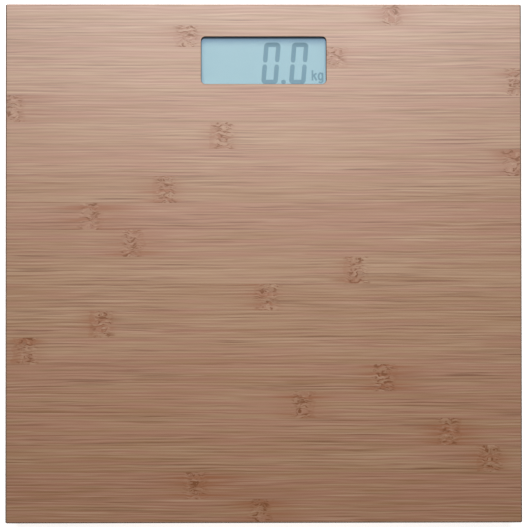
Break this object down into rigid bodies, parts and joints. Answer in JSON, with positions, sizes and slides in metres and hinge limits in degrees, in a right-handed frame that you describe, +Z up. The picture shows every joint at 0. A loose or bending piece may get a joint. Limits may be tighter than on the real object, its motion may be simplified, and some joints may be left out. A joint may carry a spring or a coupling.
{
  "type": "digital bathroom scale",
  "caption": "Square bamboo bathroom scale on load-cell feet, with a lit liquid-crystal display under a window near the rear edge and a battery door underneath.",
  "frame": {"origin": "on the floor under the middle of the board", "axes": "+X to the right and +Y to the rear, where the display is, as read from the front; +Z up"},
  "size_m": [0.3, 0.3014, 0.022],
  "materials": {
    "bamboo": "satin lacquer",
    "black_plastic": "fine texture",
    "grey_plastic": "satin",
    "white_plastic": "satin",
    "rubber": "matte",
    "foam": "matte",
    "silicone": "satin",
    "steel": "satin",
    "nickel": "bright",
    "circuit": "gloss",
    "resin": "gloss",
    "wire": "satin",
    "lens": "clear",
    "lcd_glass": "clear",
    "light_guide": "milky"
  },
  "bodies": {
    "scale": {"platform": "bamboo", "foot_screws": "steel", "display_housing": "black_plastic", "housing_screws": "steel", "battery": "nickel", "battery_contact_positive": "nickel", "battery_contact_negative": "nickel", "circuit_board": "circuit", "circuit_screws": "steel", "controller_chip": "resin", "wire_terminals": "white_plastic", "tact_switch": "black_plastic", "lcd_holder": "white_plastic", "lens_gasket": "foam", "display_lens": "lens", "lcd_front_glass": "lcd_glass", "lcd_rear_glass": "lcd_glass", "backlight_panel": "light_guide", "backlight_leds": "white_plastic", "zebra_strip": "foam", "foot_housing_front_left": "black_plastic", "cell_carrier_front_left": "black_plastic", "load_cell_front_left": "steel", "strain_gauge_front_left": "silicone", "cell_wires_front_left": "wire", "cable_duct_front_left": "black_plastic", "foot_housing_front_right": "black_plastic", "cell_carrier_front_right": "black_plastic", "load_cell_front_right": "steel", "strain_gauge_front_right": "silicone", "cell_wires_front_right": "wire", "cable_duct_front_right": "black_plastic", "foot_housing_rear_left": "black_plastic", "cell_carrier_rear_left": "black_plastic", "load_cell_rear_left": "steel", "strain_gauge_rear_left": "silicone", "cell_wires_rear_left": "wire", "cable_duct_rear_left": "black_plastic", "foot_housing_rear_right": "black_plastic", "cell_carrier_rear_right": "black_plastic", "load_cell_rear_right": "steel", "strain_gauge_rear_right": "silicone", "cell_wires_rear_right": "wire", "cable_duct_rear_right": "black_plastic"},
    "battery_door": {"battery_door": "black_plastic"},
    "unit_button": {"unit_button": "grey_plastic", "tact_plunger": "white_plastic"},
    "foot_front_left": {"foot_cup_front_left": "black_plastic", "foot_pad_front_left": "rubber"},
    "foot_front_right": {"foot_cup_front_right": "black_plastic", "foot_pad_front_right": "rubber"},
    "foot_rear_left": {"foot_cup_rear_left": "black_plastic", "foot_pad_rear_left": "rubber"},
    "foot_rear_right": {"foot_cup_rear_right": "black_plastic", "foot_pad_rear_right": "rubber"}
  },
  "joints": [
    {"name": "foot_travel_front_left", "type": "slide", "parent": "scale", "child": "foot_front_left", "axis": [0, 0, 1], "range_m": [-0.00048, 0]},
    {"name": "foot_travel_front_right", "type": "slide", "parent": "scale", "child": "foot_front_right", "axis": [0, 0, 1], "range_m": [-0.00048, 0]},
    {"name": "foot_travel_rear_left", "type": "slide", "parent": "scale", "child": "foot_rear_left", "axis": [0, 0, 1], "range_m": [-0.00048, 0]},
    {"name": "foot_travel_rear_right", "type": "slide", "parent": "scale", "child": "foot_rear_right", "axis": [0, 0, 1], "range_m": [-0.00048, 0]},
    {"name": "battery_door_hinge", "type": "hinge", "parent": "scale", "child": "battery_door", "pos_m": [0, 0.0863, 0.0036], "axis": [1, 0, 0], "range_deg": [0, 95]},
    {"name": "unit_button_press", "type": "slide", "parent": "scale", "child": "unit_button", "axis": [0, 0, 1], "range_m": [0, 0.0005], "stiffness_N_per_m": 3200}
  ]
}
